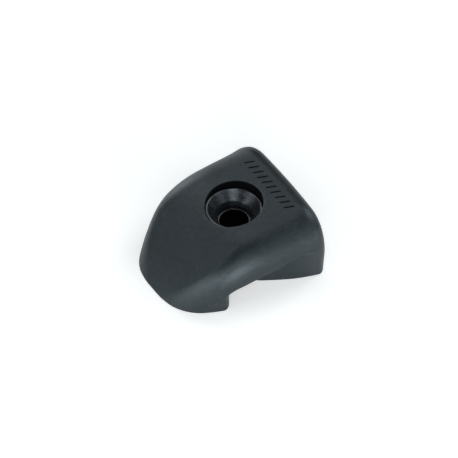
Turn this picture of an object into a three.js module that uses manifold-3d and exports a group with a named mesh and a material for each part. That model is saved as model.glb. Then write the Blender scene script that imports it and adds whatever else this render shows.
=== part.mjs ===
// Cleat horn: one moulded horn body with a countersunk metal bush in its screw hole.
// Millimetres, +Z up. The deck plane is z = 0. +X runs from the nose to the straight base end,
// and the body is the same on both sides of the XZ plane.
// Every x below is measured from the screw axis; SCREW_X moves the finished solids into place.
import * as THREE from 'three';
import { mergeVertices } from 'three/addons/utils/BufferGeometryUtils.js';
import Module from 'manifold-3d';

const SCREW_X = 3.2383;          // screw axis in the group's frame

// ---------------------------------------------------------------- outer form dimensions
// top and nose, seen from the side
const TOP_Z = 15.640;            // crown height over the screw axis
const TOP_SLOPE = 0.0906;        // rise of the top per mm towards the base end
const CROWN = 0.00083;           // fall of the top per mm^2 off the middle line
const NOSE_X = -21.392;          // tip of the nose
const NOSE_START_X = 0.438;      // where the top starts to turn down to the nose
const NOSE_LENGTH_POWER = 2.452; // superellipse powers of the nose curve
const NOSE_HEIGHT_POWER = 1.004;
const NOSE_STEPS = 48;
const PROFILE_END_X = 22;        // the profile runs past the base end
const PROFILE_END_Z = -8;        // and below the deck

// side walls
const HALF_WIDTH = 15.060;       // half width where the splay is zero
const SPLAY = 0.0896;            // widening of each side per mm towards the base end
const SPLAY_ZERO_X = -10;
const SPLAY_LIMITS = [-5, 30];   // distances from SPLAY_ZERO_X over which the splay acts
const FLARE_X = 7.409;           // where the last of the flare starts
const FLARE_END_X = 13.7;        // where it reaches BASE_HALF_WIDTH
const FLARE_LIMIT = 1.3;         // the flare carries on to this share of its length
const BASE_HALF_WIDTH = 18.020;
const WALL_DRAFT = -0.0555;      // negative: the walls lean out as they rise
const WALL_WIDTH_Z = 4.5;        // height at which the half widths hold
const TUCK = 0.0619;             // lower wall leans in towards the deck near the base end
const TUCK_TOP_Z = 6;
const TUCK_DEPTH = 9;            // the tuck stops growing this far below its top
const TUCK_FULL_X = 14;          // the tuck grows from the screw axis to here

// nose chamfers, seen from above
const CHAMFER_X = -18.141;       // where they start
const TIP_HALF_WIDTH = 10.324;   // half width of the blunt nose
const CHAMFER_LEAN = -0.0616;    // negative: they lean out as they rise
const CHAMFER_WIDTH_Z = 3;       // height at which the chamfer sizes hold
const PLAN_R = 9.260;            // plan radius between side and nose chamfer

// shoulder between top and walls
const SHOULDER_TIP_R = 4.686;    // SHOULDER_REACH before the screw axis, towards the nose
const SHOULDER_MID_R = 6.499;    // over the screw axis
const SHOULDER_BASE_R = 9.091;   // SHOULDER_REACH past the screw axis, towards the base end
const SHOULDER_REACH = 12;
const SHOULDER_TALL = 1.123;     // height of the shoulder curve for its width
const SHOULDER_LOW = 1.010;      // the radius at deck level, as a share of that higher up
const SHOULDER_RAMP_Z = 9;       // where that share has become 1

// base end
const BASE_X = 14.740;           // straight base end
const BASE_BOW = 0.00202;        // fall back of the base end per mm^2 off its middle
const BASE_EDGE_R_LOW = 4.340;   // edge radius round the base end
const BASE_EDGE_R_TOP = 3.544;
const BASE_EDGE_RAMP = { z: 8, height: 7 }; // where one radius turns into the other

// ---------------------------------------------------------------- outer form as a function
const clamp = (v, low, high) => Math.min(Math.max(v, low), high);

function ramp(v) {
  const t = clamp(v, 0, 1);
  return t * t * (3 - 2 * t);
}

// intersection of two half-spaces with a round edge
function roundMax(a, b, radius) {
  const u = Math.max(radius + a, 0);
  const v = Math.max(radius + b, 0);
  return Math.min(-radius, Math.max(a, b)) + Math.hypot(u, v);
}

const topZ = (x) => TOP_Z + TOP_SLOPE * x;

// [x, z] side profile of the top and nose, from the base end down past the deck at the tip
function sideProfile() {
  const points = [[PROFILE_END_X, topZ(PROFILE_END_X)]];
  for (let i = 0; i <= NOSE_STEPS; i++) {
    const angle = (i / NOSE_STEPS) * (Math.PI / 2);
    const along = Math.pow(Math.sin(angle), 2 / NOSE_LENGTH_POWER);
    const x = NOSE_START_X - (NOSE_START_X - NOSE_X) * along;
    points.push([x, topZ(x) * Math.pow(Math.cos(angle), 2 / NOSE_HEIGHT_POWER)]);
  }
  points.push([NOSE_X, PROFILE_END_Z]);
  return points;
}

const profile = sideProfile();

// signed distance to the side profile, negative below it
function profileDistance(x, z) {
  let nearest = Infinity;
  let sign = 1;
  for (let i = 0; i < profile.length - 1; i++) {
    const [startX, startZ] = profile[i];
    const dx = profile[i + 1][0] - startX;
    const dz = profile[i + 1][1] - startZ;
    const t = clamp(((x - startX) * dx + (z - startZ) * dz) / (dx * dx + dz * dz), 0, 1);
    const offX = x - startX - t * dx;
    const offZ = z - startZ - t * dz;
    const distance = Math.hypot(offX, offZ);
    // at a shared corner the earlier segment keeps the sign
    if (distance < nearest - 1e-9) {
      nearest = distance;
      sign = dx * offZ - dz * offX > 0 ? -1 : 1;
    }
  }
  return sign * nearest;
}

function sideWall(x, absY, z) {
  const flare = clamp((x - FLARE_X) / (FLARE_END_X - FLARE_X), 0, FLARE_LIMIT);
  const flareWidth = BASE_HALF_WIDTH - HALF_WIDTH - SPLAY * (FLARE_END_X - SPLAY_ZERO_X);
  const halfWidth = HALF_WIDTH + SPLAY * clamp(x - SPLAY_ZERO_X, ...SPLAY_LIMITS)
    + flareWidth * flare * flare;
  const tuck = TUCK * clamp(TUCK_TOP_Z - z, 0, TUCK_DEPTH) * clamp(x / TUCK_FULL_X, 0, 1);
  return (absY - halfWidth + WALL_DRAFT * (z - WALL_WIDTH_Z) + tuck) / Math.hypot(1, WALL_DRAFT);
}

function noseChamfer(x, absY, z) {
  const length = CHAMFER_X - NOSE_X;
  const width = HALF_WIDTH - TIP_HALF_WIDTH;
  return (-(x - CHAMFER_X) * width + (absY - HALF_WIDTH) * length) / Math.hypot(length, width)
    + CHAMFER_LEAN * (z - CHAMFER_WIDTH_Z);
}

function shoulderRadius(x, z) {
  const u = clamp(x / SHOULDER_REACH, -1, 1);
  const radius = SHOULDER_MID_R + (SHOULDER_BASE_R - SHOULDER_TIP_R) / 2 * u
    + ((SHOULDER_BASE_R + SHOULDER_TIP_R) / 2 - SHOULDER_MID_R) * u * u;
  return radius * (SHOULDER_LOW + (1 - SHOULDER_LOW) * ramp(z / SHOULDER_RAMP_Z));
}

// negative inside the body
function outerForm(x, y, z) {
  const absY = Math.abs(y);
  const top = profileDistance(x, z + CROWN * y * y);
  const walls = roundMax(sideWall(x, absY, z), noseChamfer(x, absY, z), PLAN_R);
  const body = roundMax(top / SHOULDER_TALL, walls, shoulderRadius(x, z));
  const edgeRadius = BASE_EDGE_R_LOW + (BASE_EDGE_R_TOP - BASE_EDGE_R_LOW)
    * ramp((z - BASE_EDGE_RAMP.z) / BASE_EDGE_RAMP.height);
  return roundMax(body, x - BASE_X + BASE_BOW * y * y, edgeRadius);
}

// ---------------------------------------------------------------- solids and meshes
const wasm = await Module();
wasm.setup();

const CUT_START_Z = -1;          // cutters start below the deck
const LATHE_SEGMENTS = 64;

// welds the vertices and drops triangles that collapse, so that the solid is closed
function toSolid(geometry) {
  geometry.deleteAttribute('normal');
  geometry.deleteAttribute('uv');
  const merged = mergeVertices(geometry, 1e-5);
  const index = merged.index.array;
  const kept = [];
  for (let i = 0; i < index.length; i += 3) {
    const [a, b, c] = [index[i], index[i + 1], index[i + 2]];
    if (a !== b && b !== c && a !== c) kept.push(a, b, c);
  }
  return new wasm.Manifold(new wasm.Mesh({
    numProp: 3,
    vertProperties: new Float32Array(merged.attributes.position.array),
    triVerts: new Uint32Array(kept),
  }));
}

function toMesh(solid, name, material) {
  const { vertProperties, triVerts } = solid.getMesh();
  const geometry = new THREE.BufferGeometry();
  geometry.setAttribute('position', new THREE.BufferAttribute(new Float32Array(vertProperties), 3));
  geometry.setIndex(new THREE.BufferAttribute(new Uint32Array(triVerts), 1));
  geometry.computeVertexNormals();
  const mesh = new THREE.Mesh(geometry, material);
  mesh.name = name;
  return mesh;
}

// the outline on the other side of the XZ plane, running the same way round
const mirrored = (points) => points.map(([x, y]) => [x, -y]).reverse();

// a prism over an [x, y] plan outline, from below the deck up to the height topAt(x)
function prism(points, topAt) {
  const flatTop = topAt(0);
  const shape = new THREE.Shape(points.map(([x, y]) => new THREE.Vector2(x + SCREW_X, y)));
  const geometry = new THREE.ExtrudeGeometry(shape, {
    depth: flatTop - CUT_START_Z,
    bevelEnabled: false,
  });
  geometry.translate(0, 0, CUT_START_Z);
  const position = geometry.attributes.position;
  for (let i = 0; i < position.count; i++) {
    if (position.getZ(i) > flatTop - 0.01) position.setZ(i, topAt(position.getX(i) - SCREW_X));
  }
  return toSolid(geometry);
}

// a solid turned round the screw axis from an [r, z] profile
function turned(points) {
  const outline = points.map(([r, z]) => new THREE.Vector2(r, z));
  const geometry = new THREE.LatheGeometry(outline, LATHE_SEGMENTS);
  geometry.rotateX(Math.PI / 2);
  geometry.translate(SCREW_X, 0, 0);
  return toSolid(geometry);
}

// ---------------------------------------------------------------- outer solid
const RAY_CENTRE = new THREE.Vector3(-1, 0, 5);
const RAY_LENGTH = 32;
const HALVINGS = 26;
const FORM_BOTTOM_Z = -4;        // the form runs below the deck and is then cut off at z = 0

// moves each vertex of a sphere along its ray until it meets the outer form
function outerSolid() {
  const geometry = new THREE.SphereGeometry(1, 88, 56);
  geometry.rotateX(Math.PI / 2);      // poles on the vertical axis, the seam in the mirror plane
  const position = geometry.attributes.position;
  const direction = new THREE.Vector3();
  const point = new THREE.Vector3();
  for (let i = 0; i < position.count; i++) {
    direction.fromBufferAttribute(position, i).normalize();
    if (Math.abs(direction.y) < 1e-7) direction.y = 0; // exactly in the mirror plane
    let inner = 0;
    let outer = RAY_LENGTH;
    for (let k = 0; k < HALVINGS; k++) {
      const middle = (inner + outer) / 2;
      point.copy(RAY_CENTRE).addScaledVector(direction, middle);
      if (point.z > FORM_BOTTOM_Z && outerForm(point.x, point.y, point.z) < 0) inner = middle;
      else outer = middle;
    }
    point.copy(RAY_CENTRE).addScaledVector(direction, inner);
    position.setXYZ(i, point.x + SCREW_X, point.y, point.z);
  }
  const aboveDeck = new THREE.BoxGeometry(80, 80, 40);
  aboveDeck.translate(0, 0, 20);
  return toSolid(geometry).intersect(toSolid(aboveDeck));
}

// ---------------------------------------------------------------- rope throat under the lips
const LIP_Z = 7.364;             // underside of the lips at LIP_X
const LIP_X = -3;
const LIP_SLOPE = 0.1978;        // rise of the underside per mm towards the base end
const THROAT_NOSE_X = -12.76;
const THROAT_BASE_X = 15.2;      // past the base end
const THROAT_HALF_WIDTH = 26;    // past both sides
const FOOT_END_Y = 18.4;         // half width of the base foot at THROAT_BASE_X

// tip foot wall facing the screw: a parabola in plan, furthest to the nose in the middle
const TIP_WALL_X = -9.05;        // at the sides
const TIP_WALL_MID_X = -12.05;   // in the middle
const TIP_WALL_HALF_WIDTH = 11.35;
const TIP_WALL_STEPS = 8;

// [x, y] from the +Y side of the throat in to the tip foot wall
const TIP_FOOT_EDGE = [
  [THROAT_NOSE_X, 14.9], [-12.06, 14.25], [-10.95, 14.03], [-10.0, 13.4], [-9.38, 12.46],
];

// [x, y] plan outline of the +Y half of the base foot, from its front on the middle line
const BASE_FOOT = [
  [-6.3, 0], [-5.8, 2.8], [-4.5, 5.6], [-2.7, 8.1], [-0.38, 10.28], [1.89, 11.69],
  [4.24, 12.97], [6.65, 14.16], [9.19, 15.14], [11.2, 15.85], [12.9, 17.1], [14.2, 17.9],
];

function throatCutter() {
  const tipFoot = [...TIP_FOOT_EDGE];
  for (let i = 0; i <= TIP_WALL_STEPS; i++) {
    const y = TIP_WALL_HALF_WIDTH - (i / TIP_WALL_STEPS) * TIP_WALL_HALF_WIDTH;
    const depth = 1 - (y / TIP_WALL_HALF_WIDTH) ** 2;
    tipFoot.push([TIP_WALL_X + (TIP_WALL_MID_X - TIP_WALL_X) * depth, y]);
  }
  const outline = [
    [THROAT_BASE_X, -THROAT_HALF_WIDTH],
    [THROAT_BASE_X, -FOOT_END_Y],
    ...mirrored(BASE_FOOT.slice(1)),
    ...BASE_FOOT,
    [THROAT_BASE_X, FOOT_END_Y],
    [THROAT_BASE_X, THROAT_HALF_WIDTH],
    [THROAT_NOSE_X, THROAT_HALF_WIDTH],
    ...tipFoot,
    ...mirrored(tipFoot.slice(0, -1)),
    [THROAT_NOSE_X, -THROAT_HALF_WIDTH],
  ];
  return prism(outline, (x) => LIP_Z + LIP_SLOPE * (x - LIP_X));
}

// ---------------------------------------------------------------- pockets under the base foot
const POCKET_TOP_Z = 11.0;

// [x, y] plan outline of the +Y pocket
const POCKET = [
  [7.06, 1.4], [12.4, 1.4], [12.4, 12.0], [11.6, 12.9], [9.4, 12.6], [6.85, 11.7],
  [4.43, 10.5], [2.07, 9.2], [1.3, 8.1], [1.5, 7.04], [3.6, 6.24], [5.5, 4.63], [6.77, 2.46],
];

function pocketCutter() {
  const [left, right] = [POCKET, mirrored(POCKET)].map((plan) => prism(plan, () => POCKET_TOP_Z));
  return left.add(right);
}

// ---------------------------------------------------------------- screw hole
const COUNTERBORE_R = 6.5;
const SEAT_LEDGE_Z = 11.1;       // ledge in the body that carries the bush head
const SLEEVE_HOLE_R = 4.6;
const HOLE_END_Z = 24;           // above the top

function holeCutter() {
  return turned([
    [0, CUT_START_Z], [SLEEVE_HOLE_R, CUT_START_Z], [SLEEVE_HOLE_R, SEAT_LEDGE_Z],
    [COUNTERBORE_R, SEAT_LEDGE_Z], [COUNTERBORE_R, HOLE_END_Z], [0, HOLE_END_Z],
  ]);
}

function hornBody() {
  return outerSolid().subtract(throatCutter()).subtract(pocketCutter()).subtract(holeCutter());
}

// ---------------------------------------------------------------- bush
const BUSH_TOP_Z = 14.00;
const BUSH_HEAD_R = 6.38;
const BUSH_SLEEVE_R = 4.48;
const BORE_R = 3.3;              // clearance for a 6 mm or quarter inch screw
const BUSH_GAP = 0.05;           // under the sleeve and under the head
const SLEEVE_BEVEL = 0.3;        // lower end of the sleeve, inside and outside
const HEAD_BEVEL = 0.15;

// [r, z] countersink, from the top face down to the bore
const COUNTERSINK = [[5.95, BUSH_TOP_Z], [4.15, 12.0], [3.6, 11.0], [BORE_R, 10.15]];

function bush() {
  const bevelZ = BUSH_GAP + SLEEVE_BEVEL;
  const headZ = SEAT_LEDGE_Z + BUSH_GAP;
  return turned([
    [BORE_R + SLEEVE_BEVEL, BUSH_GAP],
    [BUSH_SLEEVE_R - SLEEVE_BEVEL, BUSH_GAP],
    [BUSH_SLEEVE_R, bevelZ],
    [BUSH_SLEEVE_R, headZ],
    [BUSH_HEAD_R, headZ],
    [BUSH_HEAD_R, BUSH_TOP_Z - HEAD_BEVEL],
    [BUSH_HEAD_R - HEAD_BEVEL, BUSH_TOP_Z],
    ...COUNTERSINK,
    [BORE_R, bevelZ],
    [BORE_R + SLEEVE_BEVEL, BUSH_GAP],
  ]);
}

// ---------------------------------------------------------------- materials and assembly
const nylon = new THREE.MeshStandardMaterial({ color: 0x14181a, roughness: 0.42, metalness: 0 });
const blackSteel = new THREE.MeshStandardMaterial({
  color: 0x1d2022,
  roughness: 0.3,
  metalness: 0.9,
});

const horn = new THREE.Group();
horn.name = 'cleat_horn';
horn.add(toMesh(hornBody(), 'horn_body', nylon));
horn.add(toMesh(bush(), 'screw_seat_bush', blackSteel));

export default horn;
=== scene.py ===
# A black nylon horn, moulded with a rope throat under its lips, and the turned steel bush that
# seats its screw. The deck face lies on z = 0. The nose points to -X and the base end to +X.
# The shape is even about y = 0, but for the engraved strokes on top of the base end.
import bpy
import math
from functools import reduce
import numpy as np
from mathutils import Vector, Matrix


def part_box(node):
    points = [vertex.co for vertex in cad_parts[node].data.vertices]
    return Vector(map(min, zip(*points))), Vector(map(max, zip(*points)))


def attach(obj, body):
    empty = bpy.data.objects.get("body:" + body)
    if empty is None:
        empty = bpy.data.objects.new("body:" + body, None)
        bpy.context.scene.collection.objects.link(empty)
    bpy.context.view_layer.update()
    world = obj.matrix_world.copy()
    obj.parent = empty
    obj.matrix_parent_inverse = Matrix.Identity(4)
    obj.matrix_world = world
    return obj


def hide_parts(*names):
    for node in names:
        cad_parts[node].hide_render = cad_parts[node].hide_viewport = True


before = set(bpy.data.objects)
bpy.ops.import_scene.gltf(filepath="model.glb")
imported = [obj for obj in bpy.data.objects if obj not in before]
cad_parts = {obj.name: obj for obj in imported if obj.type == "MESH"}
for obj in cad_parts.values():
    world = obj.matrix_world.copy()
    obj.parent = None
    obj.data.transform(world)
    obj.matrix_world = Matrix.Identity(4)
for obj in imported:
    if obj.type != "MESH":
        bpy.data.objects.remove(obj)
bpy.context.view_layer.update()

MM = 0.001


CELL = 0.2        # mm, base cell of the moulding's mesh

# The screw axis is the middle of the bush. Shapes are measured from it, in mm.
BUSH_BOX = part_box("screw_seat_bush")
SCREW_X = (BUSH_BOX[0][0] + BUSH_BOX[1][0]) / 2 / MM

# ------------------------------------------------------------------ dimensions, mm
# Names in _X, _Y, _Z are places. _R is a radius, _SLOPE a rise for each mm along x.
BASE_X, BASE_BOW = 14.740, 0.00202           # base end, and how it bows with y squared
NOSE_X = 21.392                              # reach of the nose, towards -X
# half width: splays from SPLAY_X on, then flares towards the base end
HALF_W, SPLAY, SPLAY_X = 15.060, 0.0896, -10
BASE_HALF_W, FLARE_X, FLARE_END_X = 18.020, 7.409, 13.7
SPLAY_RUN = 23.7                             # from SPLAY_X to FLARE_END_X
DRAFT, DRAFT_Z = -0.0555, 4.5                # lean of the side walls, and where it is nil
TUCK, TUCK_Z, TUCK_X = 0.0619, 6, 14         # low walls draw in, fully from TUCK_X
# slanted plan faces beside the nose
TIP_HALF_W, CHAMFER_X, CHAMFER_LEAN, CHAMFER_Z = 10.324, -18.141, -0.0616, 3
PLAN_R = 9.260                               # corner between side wall and slanted face
# top line, and the nose curve below it with its two powers
TOP_Z, TOP_SLOPE, CROWN = 15.640, 0.0906, 0.00083
NOSE_START_X, NOSE_POWER_X, NOSE_POWER_Z = 0.438, 2.452, 1.004
# radius between top and walls: at x = -12, 0 and 12, its gain at deck level, its stretch in z
SHOULDER_TIP, SHOULDER_MID, SHOULDER_BASE, SHOULDER_REACH = 4.686, 6.499, 9.091, 12
SHOULDER_LOW, SHOULDER_LOW_Z, SHOULDER_TALL = 1.010, 9, 1.123
BASE_R_LOW, BASE_R_TOP = 4.340, 3.544        # edge round the base end, low down and at the top
# rope throat: its ceiling, and the wall of the base foot below it
LIP_Z, LIP_SLOPE, LIP_X = 7.364, 0.1978, -3
FOOT_IN, FOOT_LEAN, FOOT_LEAN_X, FOOT_LEAN_RUN, FOOT_LEAN_TOP = -0.006, 0.15, 5.0, 5.5, 9
# wall of the tip foot: x at TIP_ARC_Y and at y = 0, then an arc of TIP_R
TIP_WALL_X, TIP_WALL_MID_X, TIP_R, TIP_ARC_Y = -9.052, -12.052, 2.9, 11.35
# half plan of the base foot's throat wall: x, y
BASE_FOOT = [
    (-6.3, 0.0), (-5.8, 2.8), (-4.5, 5.6), (-2.7, 8.1), (-0.38, 10.28), (1.89, 11.69),
    (4.24, 12.97), (6.65, 14.16), (9.19, 15.14), (11.84, 15.96), (13.8, 16.35), (17.0, 16.9)]
# plan of the cored pocket on the +Y side: x, y
POCKET = [
    (7.06, 1.4), (12.4, 1.4), (12.4, 12.0), (11.6, 12.9), (9.4, 12.6), (6.85, 11.7),
    (4.43, 10.5), (2.07, 9.2), (1.3, 8.1), (1.5, 7.04), (3.6, 6.24), (5.5, 4.63), (6.77, 2.46)]
POCKET_TOP = 11.0
HOLE_R, LEDGE_Z, SLEEVE_R = 6.5, 11.1, 4.6   # counterbore, its floor, hole below it
# engraved rope-lay strokes: x of both ends, y of the first middle, half fall from end to end
STROKE_START_X, STROKE_END_X, STROKE_FALL = 8.35, 10.15, 0.42
STROKE_COUNT, STROKE_FIRST_Y, STROKE_PITCH = 10, -8.1, 1.8
STROKE_R, STROKE_DEPTH = 0.17, 0.32
STROKE_Z = 12                                # the strokes are all above this
STROKES = []
for i in range(STROKE_COUNT):
    y = STROKE_FIRST_Y + i * STROKE_PITCH
    STROKES.append(((STROKE_START_X, y + STROKE_FALL), (STROKE_END_X, y - STROKE_FALL)))

BUSH_TOP, BUSH_LEDGE = 14.0, 11.15
# closed section of the bush: radius, z, size of the corner's round
BUSH_SECTION = [
    (3.6, 0.05, 0.05), (4.18, 0.05, 0.08), (4.48, 0.35, 0.08), (4.48, BUSH_LEDGE, 0.1),
    (6.38, BUSH_LEDGE, 0.12), (6.38, BUSH_TOP - 0.15, 0.06), (6.23, BUSH_TOP, 0.06),
    (5.95, BUSH_TOP, 0.07), (4.15, 12.0, 1.2), (3.66, 11.0, 0.6), (3.48, 10.17, 0.04),
    (3.3, 10.17, 0.03), (3.3, 0.35, 0.08)]
BUSH_CORNER_STEPS, BUSH_RUN, BUSH_SEGMENTS = 6, 0.45, 160


# ------------------------------------------------------------------ distance helpers
# Distances are negative inside the material or the cut that they describe.
def round_max(a, b, radius):
    """Where both are inside, with a round edge."""
    u = np.maximum(radius + a, 0.0)
    v = np.maximum(radius + b, 0.0)
    return np.minimum(-radius, np.maximum(a, b)) + np.hypot(u, v)


def smooth_step(t):
    t = np.clip(t, 0.0, 1.0)
    return t * t * (3.0 - 2.0 * t)


def spline(points, steps):
    """Catmull-Rom through points, open ended."""
    p = np.array(points, float)
    p = np.vstack([2 * p[0] - p[1], p, 2 * p[-1] - p[-2]])
    out = []
    for i in range(1, len(p) - 2):
        t = np.linspace(0, 1, steps, endpoint=False)[:, None]
        a, b, c, d = p[i - 1], p[i], p[i + 1], p[i + 2]
        out.append(0.5 * ((2 * b) + (c - a) * t + (2 * a - 5 * b + 4 * c - d) * t ** 2
                          + (3 * b - a - 3 * c + d) * t ** 3))
    out.append(p[-2][None])
    return np.vstack(out)


def mirrored(line):
    """A half line from y = 0 outwards, made whole by its image on the -Y side."""
    return np.vstack([(line * [1, -1])[::-1], line[1:]])


def line_distance(points, line):
    """Distance from points to a polyline, and which side: +1 to the left of its run."""
    best = np.full(len(points), 1e9)
    side = np.ones(len(points))
    for start, end in zip(line[:-1], line[1:]):
        run = end - start
        offset = points - start
        t = np.clip((offset @ run) / (run @ run + 1e-12), 0, 1)
        away = offset - t[:, None] * run
        distance = np.hypot(away[:, 0], away[:, 1])
        closer = distance < best - 1e-9
        best[closer] = distance[closer]
        cross = run[0] * away[closer, 1] - run[1] * away[closer, 0]
        side[closer] = np.where(cross >= 0, 1.0, -1.0)
    return best, side


def beside(line, left_sign):
    """Signed distance to a polyline, with the given sign on the left of its run."""
    def distance(points):
        away, side = line_distance(points, line)
        return left_sign * side * away
    return distance


def within(outline):
    """Signed distance to a closed polygon."""
    def distance(points):
        away, _ = line_distance(points, outline)
        inside = np.zeros(len(points), bool)
        for a, b in zip(outline[:-1], outline[1:]):
            spans = (a[1] > points[:, 1]) != (b[1] > points[:, 1])
            cross_x = a[0] + (points[:, 1] - a[1]) * (b[0] - a[0]) / (b[1] - a[1] + 1e-12)
            inside ^= spans & (points[:, 0] < cross_x)
        return np.where(inside, -away, away)
    return distance


class Table:
    """A signed distance held on a fine plan or section grid, read with smooth interpolation."""
    STEP = 0.2

    def __init__(self, x_range, y_range, distance):
        self.x0, self.y0 = x_range[0], y_range[0]
        grid_x = np.arange(x_range[0], x_range[1] + self.STEP, self.STEP)
        grid_y = np.arange(y_range[0], y_range[1] + self.STEP, self.STEP)
        grid = np.stack(np.meshgrid(grid_x, grid_y, indexing="ij"), -1).reshape(-1, 2)
        self.values = distance(grid).reshape(len(grid_x), len(grid_y))

    @staticmethod
    def weights(t):
        """Catmull-Rom weights of four neighbours."""
        return (-0.5 * t + t * t - 0.5 * t ** 3, 1 - 2.5 * t * t + 1.5 * t ** 3,
                0.5 * t + 2 * t * t - 1.5 * t ** 3, -0.5 * t * t + 0.5 * t ** 3)

    def __call__(self, x, y):
        count_x, count_y = self.values.shape
        at_x = np.clip((x - self.x0) / self.STEP, 1, count_x - 3.001)
        at_y = np.clip((y - self.y0) / self.STEP, 1, count_y - 3.001)
        i, j = at_x.astype(np.int32), at_y.astype(np.int32)
        wx, wy = self.weights(at_x - i), self.weights(at_y - j)
        return sum(wx[k] * sum(wy[m] * self.values[i + k - 1, j + m - 1] for m in range(4))
                   for k in range(4))


# ------------------------------------------------------------------ outlines
def top_line():
    """Side profile (x, z) of the top and the nose, run from the base end to the nose."""
    angle = np.linspace(0, math.pi / 2, 110)
    x = NOSE_START_X - (NOSE_START_X + NOSE_X) * np.sin(angle) ** (2 / NOSE_POWER_X)
    z = (TOP_Z + TOP_SLOPE * x) * np.maximum(np.cos(angle), 0) ** (2 / NOSE_POWER_Z)
    start = [24.0, TOP_Z + TOP_SLOPE * 24.0]
    return np.vstack([[start], np.stack([x, z], -1), [[-NOSE_X, -9.0]]])


def tip_wall():
    """Plan (x, y) of the tip foot's throat wall: bowed middle, arc, then out past the side."""
    bow = TIP_WALL_X - TIP_WALL_MID_X
    arc_x = TIP_WALL_X - TIP_R
    wall = [(TIP_WALL_MID_X + bow * (y / TIP_ARC_Y) ** 2, y)
            for y in np.linspace(0, TIP_ARC_Y, 12)]
    wall += [(arc_x + TIP_R * math.cos(t), TIP_ARC_Y + TIP_R * math.sin(t))
             for t in np.linspace(0, math.pi / 2, 10)[1:]]
    wall += [(arc_x - 0.7, 14.51), (arc_x - 1.5, 15.25), (-13.9, 17.0), (-14.6, 22.0)]
    return mirrored(np.array(wall))


top_table = Table((-24, 18), (-4, 24), beside(top_line(), -1))
base_table = Table((-24, 18), (-1, 20), beside(mirrored(spline(BASE_FOOT, 8)), 1))
tip_table = Table((-24, 18), (-1, 20), beside(tip_wall(), -1))
pocket_table = Table((-1, 15), (-1, 16), within(np.array(POCKET + [POCKET[0]])))


# ------------------------------------------------------------------ solid shape
def hull(x, y, z):
    """The outside of the moulding, before anything is cut from it."""
    off_mid = np.abs(y)
    top = top_table(x, z + CROWN * y * y)
    flare = np.clip((x - FLARE_X) / (FLARE_END_X - FLARE_X), 0, 1.3)
    half_width = (HALF_W + SPLAY * np.clip(x - SPLAY_X, -5, 30)
                  + (BASE_HALF_W - HALF_W - SPLAY * SPLAY_RUN) * flare * flare)
    tuck = TUCK * np.clip(TUCK_Z - z, 0, 9) * np.clip(x / TUCK_X, 0, 1)
    side = (off_mid - half_width + DRAFT * (z - DRAFT_Z) + tuck) / math.hypot(1, DRAFT)
    run_x, run_y = NOSE_X + CHAMFER_X, HALF_W - TIP_HALF_W
    chamfer = ((-(x - CHAMFER_X) * run_y + (off_mid - HALF_W) * run_x)
               / math.hypot(run_x, run_y) + CHAMFER_LEAN * (z - CHAMFER_Z))
    walls = round_max(side, chamfer, PLAN_R)
    # the shoulder follows a parabola through its three radii
    u = np.clip(x / SHOULDER_REACH, -1, 1)
    shoulder = (SHOULDER_MID + (SHOULDER_BASE - SHOULDER_TIP) / 2 * u
                + ((SHOULDER_BASE + SHOULDER_TIP) / 2 - SHOULDER_MID) * u * u)
    shoulder = shoulder * (SHOULDER_LOW + (1 - SHOULDER_LOW) * smooth_step(z / SHOULDER_LOW_Z))
    shell = round_max(top / SHOULDER_TALL, walls, shoulder)
    base_r = BASE_R_LOW + (BASE_R_TOP - BASE_R_LOW) * smooth_step((z - 8) / 7)
    return round_max(shell, x - BASE_X + BASE_BOW * y * y, base_r)


def around_strokes(x, y, z, low_x, high_x, half_y):
    return (x > low_x) & (x < high_x) & (np.abs(y) < half_y) & (z > STROKE_Z)


def stroke_distance(x, y, z):
    """Plan distance to the nearest stroke; a large one away from the row."""
    far = 9.0
    distance = np.full(x.shape, far)
    near = around_strokes(x, y, z, low_x=7.4, high_x=11.2, half_y=10)
    near_x, near_y = x[near], y[near]
    nearest = np.full(near_x.shape, far)
    for (ax, ay), (bx, by) in STROKES:
        dx, dy = bx - ax, by - ay
        t = np.clip(((near_x - ax) * dx + (near_y - ay) * dy) / (dx * dx + dy * dy), 0, 1)
        nearest = np.minimum(nearest, np.hypot(near_x - ax - t * dx, near_y - ay - t * dy))
    distance[near] = nearest
    return distance


def body(x, y, z, engraved=True):
    """Signed distance to the whole moulding."""
    off_mid = np.abs(y)
    outside = hull(x, y, z)
    # rope throat: under the lips and outside both feet
    ceiling = z - (LIP_Z + LIP_SLOPE * (x - LIP_X))
    lean = FOOT_LEAN * smooth_step((x - FOOT_LEAN_X) / FOOT_LEAN_RUN)
    base_foot = base_table(x, off_mid) - lean * np.clip(z, 0, FOOT_LEAN_TOP) + FOOT_IN
    tip_foot = tip_table(x, off_mid)
    throat = round_max(round_max(ceiling, -base_foot, radius=1.7), -tip_foot, radius=2.5)
    solid = round_max(outside, -throat, radius=0.3)
    pocket = round_max(pocket_table(x, off_mid), z - POCKET_TOP, radius=0.5)
    solid = round_max(solid, -pocket, radius=0.18)
    # screw hole with its counterbore
    from_axis = np.hypot(x, y)
    hole = np.minimum(np.maximum(from_axis - HOLE_R, LEDGE_Z - z), from_axis - SLEEVE_R)
    solid = round_max(solid, -hole, radius=0.16)
    # deck face
    solid = round_max(solid, -z, radius=0.22)
    if engraved:
        groove = round_max(stroke_distance(x, y, z) - STROKE_R, -(outside + STROKE_DEPTH),
                           radius=0.08)
        solid = round_max(solid, -groove, radius=0.05)
    return solid


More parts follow.
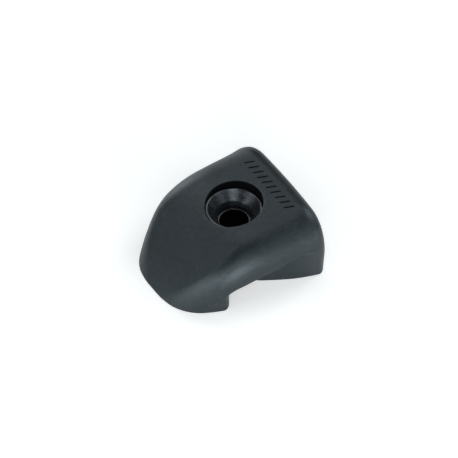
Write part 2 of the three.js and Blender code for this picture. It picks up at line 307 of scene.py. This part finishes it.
# ------------------------------------------------------------------ surface of the moulding
def surface_net(cell):
    """A closed quad mesh on the cells that the surface crosses."""
    grid_x = np.arange(-NOSE_X - 4.5 * cell, BASE_X + 4.5 * cell, cell)
    count_y = int(18.0 / cell)
    grid_y = (np.arange(-count_y, count_y) + 0.5) * cell
    grid_z = np.arange(-2.5 * cell, 17.5, cell) + 0.37 * cell
    # the +Y half is sampled and mirrored; the strokes are left to the finer mesh
    x, y, z = np.meshgrid(grid_x, grid_y[count_y:], grid_z, indexing="ij")
    field = body(x.ravel(), y.ravel(), z.ravel(), engraved=False)
    field = field.reshape(x.shape).astype(np.float32)
    field = np.concatenate([field[:, ::-1], field], 1)
    inside = field < 0
    size = inside.shape
    corners = [(i, j, k) for k in (0, 1) for j in (0, 1) for i in (0, 1)]
    filled = np.zeros((size[0] - 1, size[1] - 1, size[2] - 1), np.int8)
    for i, j, k in corners:
        filled += inside[i:size[0] - 1 + i, j:size[1] - 1 + j, k:size[2] - 1 + k]
    active = (filled > 0) & (filled < 8)
    ids = np.full(active.shape, -1, np.int64)
    ids[active] = np.arange(active.sum())
    cells = np.argwhere(active)
    # each point is the mean of the crossings on its cell's edges
    total = np.zeros((len(cells), 3))
    count = np.zeros(len(cells))
    for i in range(8):
        for j in range(i + 1, 8):
            start, end = np.array(corners[i]), np.array(corners[j])
            if np.abs(start - end).sum() != 1:
                continue
            at_start = field[tuple((cells + start).T)]
            at_end = field[tuple((cells + end).T)]
            crossed = (at_start < 0) != (at_end < 0)
            t = (at_start[crossed] / (at_start[crossed] - at_end[crossed]))[:, None]
            total[crossed] += start + (end - start) * t
            count[crossed] += 1
    origin = np.array([grid_x[0], grid_y[0], grid_z[0]])
    points = origin + cell * (cells + total / count[:, None])
    # one quad round each grid edge that the surface crosses
    quads = []
    for axis in range(3):
        next_axis, last_axis = (axis + 1) % 3, (axis + 2) % 3
        low = [slice(None)] * 3
        high = [slice(None)] * 3
        low[axis], high[axis] = slice(0, -1), slice(1, None)
        here, beyond = inside[tuple(low)], inside[tuple(high)]
        edges = np.argwhere(here != beyond)
        for side_axis in (next_axis, last_axis):
            place = edges[:, side_axis]
            edges = edges[(place > 0) & (place < size[side_axis] - 1)]
        outward = here[tuple(edges.T)]
        quad = []
        for shift_next, shift_last in ((-1, -1), (0, -1), (0, 0), (-1, 0)):
            around = edges.copy()
            around[:, next_axis] += shift_next
            around[:, last_axis] += shift_last
            quad.append(ids[tuple(around.T)])
        quad = np.stack(quad, 1)
        quad[~outward] = quad[~outward][:, ::-1]
        quads.append(quad)
    return points, np.vstack(quads)


def triangulate(points, quads):
    """Cut each quad along its shorter diagonal."""
    first = np.linalg.norm(points[quads[:, 0]] - points[quads[:, 2]], axis=1)
    second = np.linalg.norm(points[quads[:, 1]] - points[quads[:, 3]], axis=1)
    use_first = (first <= second)[:, None]
    return np.vstack([np.where(use_first, quads[:, [0, 1, 2]], quads[:, [0, 1, 3]]),
                      np.where(use_first, quads[:, [0, 2, 3]], quads[:, [1, 2, 3]])])


def gradient(points, step=0.01):
    slope = np.empty_like(points)
    for k in range(3):
        ahead, behind = points.copy(), points.copy()
        ahead[:, k] += step
        behind[:, k] -= step
        slope[:, k] = body(*ahead.T) - body(*behind.T)
    return slope / (2 * step)


def project(points, rounds, limit=0.15):
    """Move points onto the surface, by no more than the limit in each round."""
    for _ in range(rounds):
        distance = body(*points.T)
        slope = gradient(points)
        move = (distance / np.maximum((slope * slope).sum(1), 0.2))[:, None] * slope
        length = np.linalg.norm(move, axis=1, keepdims=True)
        points = points - move * np.minimum(1, limit / np.maximum(length, 1e-9))
    return points


def triangle_edges(faces):
    return np.vstack([faces[:, [0, 1]], faces[:, [1, 2]], faces[:, [2, 0]]])


def relax(points, faces, amount, only=None):
    """Draw points towards the mean of their neighbours."""
    edges = triangle_edges(faces)
    total = np.zeros((len(points), 3))
    count = np.zeros(len(points))
    for here, there in ((0, 1), (1, 0)):
        for k in range(3):
            total[:, k] += np.bincount(edges[:, here], points[edges[:, there], k], len(points))
        count += np.bincount(edges[:, here], minlength=len(points))
    moved = points + amount * (total / count[:, None] - points)
    if only is not None:
        moved[~only] = points[~only]
    return moved


def refine(points, faces, choose):
    """Split the chosen edges in two, and the triangles with them. The mesh stays closed."""
    pairs = np.sort(triangle_edges(faces), 1)
    keys, edge_of = np.unique(pairs[:, 0].astype(np.int64) * len(points) + pairs[:, 1],
                              return_inverse=True)
    start, end = keys // len(points), keys % len(points)
    split = choose(points, start, end)
    middle = np.full(len(keys), -1, np.int64)
    middle[split] = len(points) + np.arange(split.sum())
    all_points = np.vstack([points, (points[start[split]] + points[end[split]]) / 2])
    middles = middle[edge_of].reshape(3, -1).T
    count = (middles >= 0).sum(1)
    out = [faces[count == 0]]

    def put(*triangles):
        out.extend(np.stack(triangle, 1) for triangle in triangles)

    # a, b, c are corners; ab, bc, ca the middles between them
    for turn in range(3):
        corner, mid = np.roll(faces, -turn, 1), np.roll(middles, -turn, 1)
        one = (count == 1) & (mid[:, 0] >= 0)
        a, b, c = corner[one].T
        ab = mid[one, 0]
        put((a, ab, c), (ab, b, c))
        two = (count == 2) & (mid[:, 2] < 0)
        a, b, c = corner[two].T
        ab, bc = mid[two, 0], mid[two, 1]
        put((ab, b, bc), (a, ab, bc), (a, bc, c))
    three = count == 3
    a, b, c = faces[three].T
    ab, bc, ca = middles[three].T
    put((a, ab, ca), (ab, b, bc), (ca, bc, c), (ab, bc, ca))
    return all_points, np.vstack(out)


def edge_facts(points, start, end):
    """Length of each edge, and whether its middle is in the row of strokes."""
    middle = (points[start] + points[end]) / 2
    length = np.linalg.norm(points[start] - points[end], axis=1)
    return length, around_strokes(*middle.T, low_x=7.9, high_x=10.6, half_y=9.2)


def by_place(points, start, end):
    length, in_row = edge_facts(points, start, end)
    return in_row & (length > 0.09)


def by_bend(points, start, end):
    """Edges where the surface turns, and long ones in the row of strokes."""
    length, in_row = edge_facts(points, start, end)
    normal = gradient(points)
    normal /= np.maximum(np.linalg.norm(normal, axis=1, keepdims=True), 1e-9)
    cosine = (normal[start] * normal[end]).sum(1)
    return ((cosine < 0.965) & (length > 0.06)) | (in_row & (length > 0.2))


def moulding():
    points, quads = surface_net(CELL)
    faces = triangulate(points, quads)
    for _ in range(2):
        points = project(points, rounds=1)
        points = relax(points, faces, amount=0.5)
    points = project(points, rounds=2)
    for choose in [by_place, by_place, by_bend, by_bend]:
        old_count = len(points)
        points, faces = refine(points, faces, choose)
        new = np.zeros(len(points), bool)
        new[old_count:] = True
        points[new] = project(points[new], rounds=3, limit=0.08)
        near = new.copy()
        near[faces[new[faces].any(1)].ravel()] = True
        points = relax(points, faces, amount=0.3, only=near)
        points[near] = project(points[near], rounds=2, limit=0.05)
    return points, faces


def make_object(name, points, faces, smooth=True):
    """A mesh object, from points in metres and faces that all have as many corners."""
    mesh = bpy.data.meshes.new(name)
    count, corners = faces.shape
    mesh.vertices.add(len(points))
    mesh.vertices.foreach_set("co", np.ascontiguousarray(points, np.float32).ravel())
    mesh.loops.add(count * corners)
    mesh.loops.foreach_set("vertex_index", np.ascontiguousarray(faces, np.int32).ravel())
    mesh.polygons.add(count)
    mesh.polygons.foreach_set("loop_start",
                              np.arange(0, count * corners, corners, dtype=np.int32))
    mesh.polygons.foreach_set("loop_total", np.full(count, corners, np.int32))
    mesh.polygons.foreach_set("use_smooth", np.full(count, smooth, bool))
    mesh.update(calc_edges=True)
    mesh.validate()
    made = bpy.data.objects.new(name, mesh)
    bpy.context.scene.collection.objects.link(made)
    return made


# ------------------------------------------------------------------ the bush
def round_corners(section):
    """Closed section with each corner turned into a short curve."""
    out = []
    places = np.array(section, float)[:, :2]
    for i, (_, _, radius) in enumerate(section):
        corner = places[i]
        back, ahead = places[i - 1] - corner, places[(i + 1) % len(places)] - corner
        back_length, ahead_length = np.linalg.norm(back), np.linalg.norm(ahead)
        back, ahead = back / back_length, ahead / ahead_length
        angle = math.acos(back @ ahead)
        reach = min(radius / math.tan(angle / 2), 0.45 * back_length, 0.45 * ahead_length)
        for k in range(BUSH_CORNER_STEPS + 1):
            w = k / BUSH_CORNER_STEPS
            out.append((1 - w) ** 2 * (corner + back * reach) + 2 * w * (1 - w) * corner
                       + w * w * (corner + ahead * reach))
    return np.array(out)


def cut_runs(outline):
    """Cut the long runs of a closed outline into short ones, so the faces stay even."""
    out = []
    for start, end in zip(outline, np.roll(outline, -1, 0)):
        pieces = max(1, int(np.linalg.norm(end - start) / BUSH_RUN))
        for j in range(pieces):
            out.append(start + (end - start) * j / pieces)
    return np.array(out)


def turned(outline, segments):
    """A closed outline (radius, z) swept round the z axis."""
    angle = np.arange(segments) / segments * 2 * math.pi
    radius, height = outline.T
    count = len(outline)
    points = np.stack([np.outer(np.cos(angle), radius), np.outer(np.sin(angle), radius),
                       np.broadcast_to(height, (segments, count))], -1).reshape(-1, 3)
    i, j = np.meshgrid(np.arange(segments), np.arange(count), indexing="ij")
    next_i, next_j = (i + 1) % segments, (j + 1) % count
    faces = np.stack([i * count + j, next_i * count + j, next_i * count + next_j,
                      i * count + next_j], -1).reshape(-1, 4)
    return points, faces


# ------------------------------------------------------------------ materials
class Shader:
    """A material with a Principled surface, and short ways to add nodes to it."""

    def __init__(self, name):
        self.material = bpy.data.materials.new(name)
        self.material.use_nodes = True
        self.tree = self.material.node_tree
        self.tree.nodes.clear()
        self.output = self.add("OutputMaterial")
        self.surface = self.add("BsdfPrincipled")
        self.fill(self.output, {0: self.surface.outputs[0]})

    def fill(self, node, inputs):
        """Link or set each input, by its name or number."""
        for key, value in inputs.items():
            if isinstance(value, bpy.types.NodeSocket):
                self.tree.links.new(value, node.inputs[key])
            else:
                node.inputs[key].default_value = value

    def add(self, kind, inputs={}, **settings):
        node = self.tree.nodes.new("ShaderNode" + kind)
        for key, value in settings.items():
            setattr(node, key, value)
        self.fill(node, inputs)
        return node

    def math(self, operation, *values):
        return self.add("Math", dict(enumerate(values)), operation=operation).outputs[0]

    def product(self, *values):
        return reduce(lambda a, b: self.math("MULTIPLY", a, b), values)

    def total(self, *values):
        return reduce(lambda a, b: self.math("ADD", a, b), values)

    def less(self, start, mask, drop):
        """The start value, lowered by the drop where the mask is 1."""
        return self.math("SUBTRACT", start, self.product(mask, drop))

    def radius(self, x, y):
        return self.math("SQRT", self.total(self.product(x, x), self.product(y, y)))

    def mask(self, value, zero_at, one_at):
        return self.add("MapRange", {0: value, 1: zero_at, 2: one_at}).outputs[0]

    def ramp(self, value, *stops):
        node = self.add("ValToRGB", {0: value})
        for element, (position, colour) in zip(node.color_ramp.elements, stops):
            element.position = position
            element.color = (*colour, 1)
        return node.outputs[0]

    def mix(self, base, colour, mask, amount=None):
        """Lay a colour over the base where the mask is 1."""
        factor = mask if amount is None else self.product(mask, amount)
        node = self.add("Mix", data_type="RGBA")
        self.fill(node, {"Factor": factor, 6: base, 7: (*colour, 1)})
        return node.outputs[2]

    def coordinates(self, shift_x=0):
        """Object space in millimetres."""
        coordinate = self.add("TexCoord").outputs["Object"]
        return self.add("Mapping", {0: coordinate, "Location": (shift_x, 0, 0),
                                    "Scale": (1000, 1000, 1000)}).outputs[0]

    def noise(self, vector, scale, detail=2.0, roughness=0.5, distortion=0.0, dimensions="3D"):
        node = self.add("TexNoise", noise_dimensions=dimensions)
        self.fill(node, {"Vector": vector, "Scale": scale, "Detail": detail,
                         "Roughness": roughness, "Distortion": distortion})
        return node.outputs["Fac"]

    def bump(self, height, strength, distance, under=None):
        node = self.add("Bump", {"Height": height, "Strength": strength, "Distance": distance})
        if under:
            self.fill(node, {"Normal": under})
        return node.outputs[0]


def nylon():
    s = Shader("fibre_filled_nylon")
    place = s.coordinates()
    spark = s.noise(place, scale=3.6, detail=3.0, roughness=0.6)
    wave = s.noise(place, scale=0.16)
    # long faint swirls of the fibre
    stretched = s.add("Mapping", {0: place, "Scale": (0.5, 1.4, 1.4)}).outputs[0]
    flow = s.noise(stretched, scale=0.55, detail=5.0, distortion=1.4)
    fleck = s.add("TexVoronoi", {"Vector": place, "Scale": 2.4}).outputs["Distance"]
    fleck = s.ramp(fleck, (0.0, (1, 1, 1)), (0.11, (0, 0, 0)))
    x, y, z = s.add("SeparateXYZ", {0: place}).outputs
    x = s.math("SUBTRACT", x, SCREW_X)
    from_axis = s.radius(x, y)

    # light handling wear round the mouth of the hole and along the deck edge
    mouth = s.product(s.mask(from_axis, zero_at=7.3, one_at=6.6),
                      s.mask(z, zero_at=12.5, one_at=13.2))
    edge = s.product(s.math("MAXIMUM", mouth, s.mask(z, zero_at=0.7, one_at=0.15)),
                     s.mask(wave, zero_at=0.38, one_at=0.62))
    # painted shade: the counterbore wall, where shade falls in the recess, is made near black
    # and matt
    wall = s.mask(from_axis, zero_at=6.62, one_at=6.54)
    # painted shade on the floor of the strokes, where shade falls in the grooves: y is slid
    # along their slant, and folded to half a pitch.
    # The shift by whole pitches keeps it positive.
    stroke_slant = 0.4667
    shift = STROKE_COUNT * STROKE_PITCH - STROKE_FIRST_Y
    along = s.math("SUBTRACT", x, (STROKE_START_X + STROKE_END_X) / 2)
    slid = s.total(y, s.product(along, stroke_slant))
    off_stroke = s.math("PINGPONG", s.total(slid, shift), STROKE_PITCH / 2)
    in_row = s.product(s.mask(s.math("ABSOLUTE", along), zero_at=1.14, one_at=1.02),
                       s.mask(s.math("ABSOLUTE", y), zero_at=8.9, one_at=8.8))
    cut = s.product(s.mask(off_stroke, zero_at=0.30, one_at=0.15), in_row,
                    s.mask(z, zero_at=12.0, one_at=12.5))
    # painted shade in the recesses: the counterbore wall and the floor of the strokes
    painted_shade = s.math("MAXIMUM", wall, cut)

    grain_contrast = 1.8
    grain = s.product(s.math("SUBTRACT", spark, 0.5), grain_contrast)
    colour = s.ramp(s.total(flow, grain), (0.12, (0.0020, 0.0040, 0.0050)),
                    (0.88, (0.0145, 0.0200, 0.0232)))
    colour = s.mix(colour, (0.05, 0.058, 0.062), mask=fleck, amount=0.10)
    colour = s.mix(colour, (0.045, 0.052, 0.056), mask=edge, amount=0.3)
    # painted shade: near black in the counterbore wall and the strokes
    colour = s.mix(colour, (0.0025, 0.003, 0.0033), mask=painted_shade)
    # from 0.31 up with both noises, and smoother where worn
    roughness = s.total(s.product(wave, 0.10), s.product(spark, 0.08), 0.31,
                        s.product(edge, -0.06))
    # spark texture over faint sink
    sink = s.bump(wave, strength=0.5, distance=0.00025)
    # the specular is dropped where the shade is painted, in the counterbore wall and the
    # strokes
    s.fill(s.surface, {
        "Base Color": colour,
        "Roughness": roughness,
        "IOR": 1.56,
        "Specular IOR Level": s.less(0.5, mask=painted_shade, drop=0.44),
        "Specular Tint": (0.84, 0.95, 1.0, 1),
        "Normal": s.bump(spark, strength=0.8, distance=0.000075, under=sink)})
    return s.material


def black_steel():
    s = Shader("blackened_turned_steel")
    place = s.coordinates(shift_x=-SCREW_X)
    x, y, z = s.add("SeparateXYZ", {0: place}).outputs
    from_axis = s.radius(x, y)
    # tool rings: noise read along radius and depth only
    section = s.add("CombineXYZ", {0: from_axis, 1: z}).outputs[0]
    rings = s.noise(section, scale=5.5, detail=4.0, roughness=0.7, dimensions="2D")
    mottle = s.noise(place, scale=1.1, detail=5.0)
    grit = s.noise(place, scale=9.0)

    # painted shade: the inside of the bore is made near black, rough, less metal and dull,
    # where shade falls in the hole
    bore_shade = s.product(s.mask(from_axis, zero_at=3.42, one_at=3.34),
                     s.mask(z, zero_at=10.14, one_at=10.05))
    # painted highlights: a lighter colour on the ring round the top and the land round the bore
    ring_highlight = s.product(s.mask(from_axis, zero_at=5.86, one_at=5.92),
                     s.mask(z, zero_at=13.8, one_at=13.9))
    land_highlight = s.product(s.mask(from_axis, zero_at=3.56, one_at=3.50),
                     s.mask(z, zero_at=10.12, one_at=10.16))
    colour = s.ramp(mottle, (0.35, (0.046, 0.053, 0.060)), (0.70, (0.084, 0.093, 0.103)))
    # painted highlight on the top ring and the land
    colour = s.mix(colour, (0.15, 0.16, 0.17), mask=s.math("MAXIMUM", ring_highlight, land_highlight))
    # painted shade in the bore
    colour = s.mix(colour, (0.0015, 0.0015, 0.0016), mask=bore_shade)
    # from 0.17 up with both noises, and rougher in the painted shade of the bore
    roughness = s.total(s.product(rings, 0.16), s.product(mottle, 0.10), 0.17,
                        s.product(bore_shade, 0.4))
    ridges = s.bump(rings, strength=0.55, distance=0.00003)
    # metal and specular are dropped in the painted shade of the bore
    s.fill(s.surface, {
        "Base Color": colour,
        "Metallic": s.less(0.85, mask=bore_shade, drop=0.6),
        "Roughness": roughness,
        "Specular IOR Level": s.less(0.5, mask=bore_shade, drop=0.45),
        "Normal": s.bump(grit, strength=0.2, distance=0.00001, under=ridges)})
    return s.material


def pale_floor():
    """A table lit from within, a little brighter to the camera; clear from underneath."""
    glow, camera_lift = 0.198, 0.22
    s = Shader("pale_floor")
    noise = s.add("TexNoise", {"Scale": 60}).outputs["Fac"]
    camera_ray = s.add("LightPath").outputs["Is Camera Ray"]
    s.fill(s.surface, {
        "Base Color": s.ramp(noise, (0.3, (0.86, 0.86, 0.86)), (0.7, (0.88, 0.88, 0.88))),
        "Roughness": 0.85,
        "Specular IOR Level": 0.1,
        "Emission Color": (1, 1, 1, 1),
        "Emission Strength": s.total(s.product(camera_ray, camera_lift), glow)})
    two_sided = s.add("MixShader", {
        0: s.add("NewGeometry").outputs["Backfacing"],
        1: s.surface.outputs[0],
        2: s.add("BsdfTransparent").outputs[0]})
    s.fill(s.output, {0: two_sided.outputs[0]})
    return s.material


# ------------------------------------------------------------------ the product
def from_screw_axis(points):
    return (points + [SCREW_X, 0, 0]) * MM


horn_points, horn_faces = moulding()
horn = make_object("horn_moulding", from_screw_axis(horn_points), horn_faces)
bush_points, bush_faces = turned(cut_runs(round_corners(BUSH_SECTION)), BUSH_SEGMENTS)
bush = make_object("turned_screw_seat", from_screw_axis(bush_points), bush_faces)
horn.data.materials.append(nylon())
bush.data.materials.append(black_steel())
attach(horn, "root")
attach(bush, "root")
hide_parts("horn_body")
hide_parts("screw_seat_bush")


# ------------------------------------------------------------------ stage
def add_camera():
    """A distant camera that looks down on the nose and the -Y side."""
    azimuth, elevation = math.radians(-32.535), math.radians(46.817)
    distance = 2.2
    view_width = 101.77778 * MM
    shift_right, shift_up = -1.107556 * MM, 5.008 * MM   # aim, from the foot of the screw axis
    right = Vector((math.cos(azimuth), math.sin(azimuth), 0))
    back = Vector((math.sin(azimuth) * math.cos(elevation),
                   -math.cos(azimuth) * math.cos(elevation), math.sin(elevation)))
    up = back.cross(right)
    aim = Vector((SCREW_X * MM, 0, 0)) + right * shift_right + up * shift_up
    lens = bpy.data.cameras.new("camera")
    lens.sensor_width = 36
    lens.sensor_fit = "HORIZONTAL"
    lens.lens = lens.sensor_width * distance / view_width
    lens.clip_start, lens.clip_end = 0.1, 20
    camera = bpy.data.objects.new("camera", lens)
    bpy.context.scene.collection.objects.link(camera)
    axes = Matrix((right, up, back)).transposed().to_4x4()
    camera.matrix_world = Matrix.Translation(aim + back * distance) @ axes
    bpy.context.scene.camera = camera


def add_floor():
    half, z = 3, -0.00002        # just under the deck face, so the two never share a plane
    corners = [(-half, -half, z), (half, -half, z), (half, half, z), (-half, half, z)]
    floor = make_object("floor", np.array(corners), np.array([[0, 1, 2, 3]]), smooth=False)
    floor.data.materials.append(pale_floor())


def add_world():
    """Dim light all round, but a pale backdrop where the camera sees past the table."""
    world = bpy.data.worlds.new("studio")
    bpy.context.scene.world = world
    world.use_nodes = True
    tree = world.node_tree
    background = tree.nodes["Background"]
    background.inputs["Color"].default_value = (0.93, 0.97, 1.0, 1)
    path = tree.nodes.new("ShaderNodeLightPath")
    strength = tree.nodes.new("ShaderNodeMapRange")
    strength.inputs["To Min"].default_value = 0.05
    strength.inputs["To Max"].default_value = 0.75
    tree.links.new(path.outputs["Is Camera Ray"], strength.inputs["Value"])
    tree.links.new(strength.outputs[0], background.inputs["Strength"])


def add_light(name, azimuth, elevation, power, size, distance):
    """A soft light aimed at the origin; azimuth 0 is +X, 90 is +Y."""
    a, e = math.radians(azimuth), math.radians(elevation)
    towards = Vector((math.cos(a) * math.cos(e), math.sin(a) * math.cos(e), math.sin(e)))
    light = bpy.data.lights.new(name, "AREA")
    light.shape = "RECTANGLE"
    light.size, light.size_y = size
    light.energy = power
    light.color = (0.93, 0.98, 1.0)
    light.spread = math.pi
    lamp = bpy.data.objects.new(name, light)
    lamp.location = towards * distance
    lamp.rotation_euler = (-towards).to_track_quat("-Z", "Y").to_euler()
    lamp.visible_camera = False
    bpy.context.scene.collection.objects.link(lamp)


# azimuth, elevation, power
SOFT_LIGHTS = [
    (90, 14, 0.389), (180, 14, 0.446), (0, 38, 0.597), (90, 38, 0.301),
    (150, 38, 0.178), (240, 38, 0.351), (300, 38, 0.142), (45, 64, 0.192)]
# low strips on the -Y side: azimuth, power
STRIP_LIGHTS = [(-150, 0.0507), (-105, 0.0920), (-55, 0.0300)]

add_camera()
add_floor()
add_world()
for azimuth, elevation, power in SOFT_LIGHTS:
    add_light("soft_%03d_%02d" % (azimuth, elevation), azimuth, elevation, power,
              size=(0.22, 0.20), distance=0.45)
for azimuth, power in STRIP_LIGHTS:
    add_light("strip_%d" % -azimuth, azimuth, 10, power, size=(0.07, 0.045), distance=0.145)
bpy.context.scene.view_settings.view_transform = "Standard"
